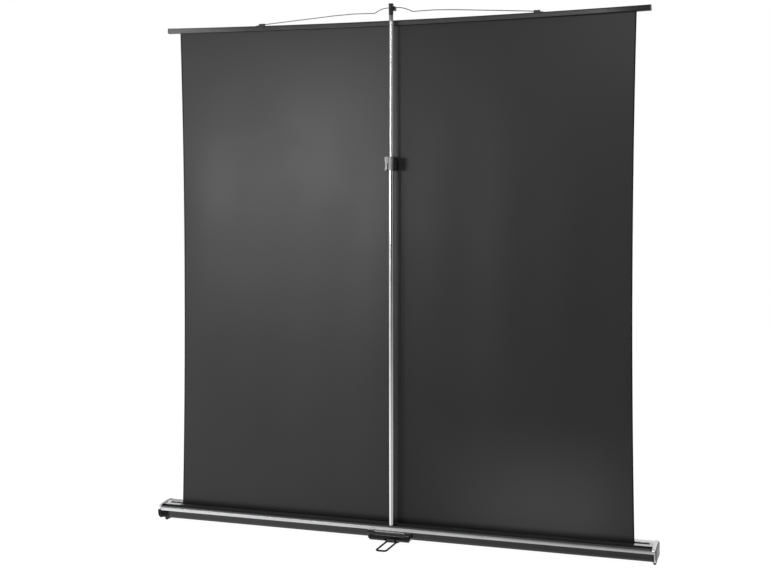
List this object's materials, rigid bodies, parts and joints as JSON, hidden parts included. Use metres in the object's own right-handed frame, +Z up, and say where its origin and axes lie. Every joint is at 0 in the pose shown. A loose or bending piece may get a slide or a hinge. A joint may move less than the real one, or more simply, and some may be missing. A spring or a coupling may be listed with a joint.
{
  "type": "portable projection screen",
  "caption": "Free-standing pull-up projection screen with a spring roller in a floor case, a telescopic pole with a clamp lock, a wire bail and a swivelling wire foot.",
  "frame": {"origin": "on the floor, halfway along the case and halfway between its front and the end of the wire foot", "axes": "+Z up, +Y towards the pole behind the fabric, +X along the case"},
  "size_m": [2.032, 0.2214, 2.0878],
  "materials": {
    "dark_anodised": "satin",
    "bright_anodised": "satin",
    "pole_aluminium": "polished",
    "black_plastic": "moulded",
    "gloss_black": "gloss",
    "black_steel": "gloss",
    "steel": "drawn",
    "dark_steel": "drawn",
    "brass": "turned",
    "rubber": "matte",
    "felt": "napped",
    "screen_cloth": "coated"
  },
  "bodies": {
    "base": {"case_body": "dark_anodised", "case_front_cover": "bright_anodised", "case_rear_lip": "bright_anodised", "case_shoulder_trim": "bright_anodised", "slot_guides": "felt", "slot_plugs": "bright_anodised", "end_frame_left": "black_plastic", "end_frame_right": "black_plastic", "end_cover_left": "bright_anodised", "end_cover_right": "bright_anodised", "end_frame_screws": "steel", "foot_pads": "rubber", "roller_bush": "brass", "spring_spindle": "steel", "roller_spring": "steel", "spring_anchor": "brass", "pole_socket": "black_plastic", "foot_bracket": "gloss_black", "foot_bracket_screws": "steel", "foot_pivot_screw": "steel", "foot_pivot_nut": "steel", "foot_washer": "steel"},
    "roller": {"roller_tube": "bright_anodised", "fabric_roll": "screen_cloth", "roller_idle_plug": "black_plastic", "roller_spring_plug": "black_plastic"},
    "bar": {"top_bar": "dark_anodised", "top_bar_cap_left": "black_plastic", "top_bar_cap_right": "black_plastic", "hem_rod": "bright_anodised", "screen_fabric": "screen_cloth", "bail_clips": "black_plastic", "bail_clip_screws": "steel"},
    "wire_bail": {"bail": "dark_steel", "bail_arm_left": "dark_steel", "bail_arm_right": "dark_steel"},
    "lower_pole": {"pole_lower_tube": "pole_aluminium", "pole_foot_plug": "black_plastic", "lock_collar": "black_plastic", "lock_pin": "steel", "lock_shoe": "brass", "lock_screws": "dark_steel"},
    "upper_pole": {"pole_upper_tube": "pole_aluminium", "pole_guide_bush": "black_plastic", "pole_head": "black_plastic"},
    "lever": {"lock_lever": "black_plastic"},
    "foot": {"foot_hub": "black_plastic", "foot_loop": "black_steel"}
  },
  "joints": [
    {"name": "bar_slide", "type": "slide", "parent": "base", "child": "bar", "axis": [0, 0, -1], "range_m": [0, 0.46], "deforming": ["screen_fabric"]},
    {"name": "pole_slide", "type": "slide", "parent": "base", "child": "upper_pole", "axis": [0, 0, -1], "range_m": [0, 0.47]},
    {"name": "roller_spin", "type": "hinge", "parent": "base", "child": "roller", "pos_m": [0, -0.0788, 0.0453], "axis": [1, 0, 0], "range_deg": [-1500, 0]},
    {"name": "pole_lift", "type": "slide", "parent": "base", "child": "lower_pole", "axis": [0, 0, 1], "range_m": [0, 0.05]},
    {"name": "lock_flip", "type": "hinge", "parent": "lower_pole", "child": "lever", "pos_m": [0.0175, -0.02125, 1.49], "axis": [0, -1, 0], "range_deg": [0, 110]},
    {"name": "bail_swing", "type": "hinge", "parent": "bar", "child": "wire_bail", "pos_m": [0, -0.06125, 2.03776], "axis": [1, 0, 0], "range_deg": [0, 130]},
    {"name": "foot_swivel", "type": "hinge", "parent": "base", "child": "foot", "pos_m": [0, -0.04325, 0.006], "axis": [0, 0, 1], "range_deg": [0, 90]}
  ],
  "couplings": [
    {"joint": "pole_slide", "follows": "bar_slide", "ratio": 1},
    {"joint": "roller_spin", "follows": "bar_slide", "rad_per_m": -55.5}
  ]
}
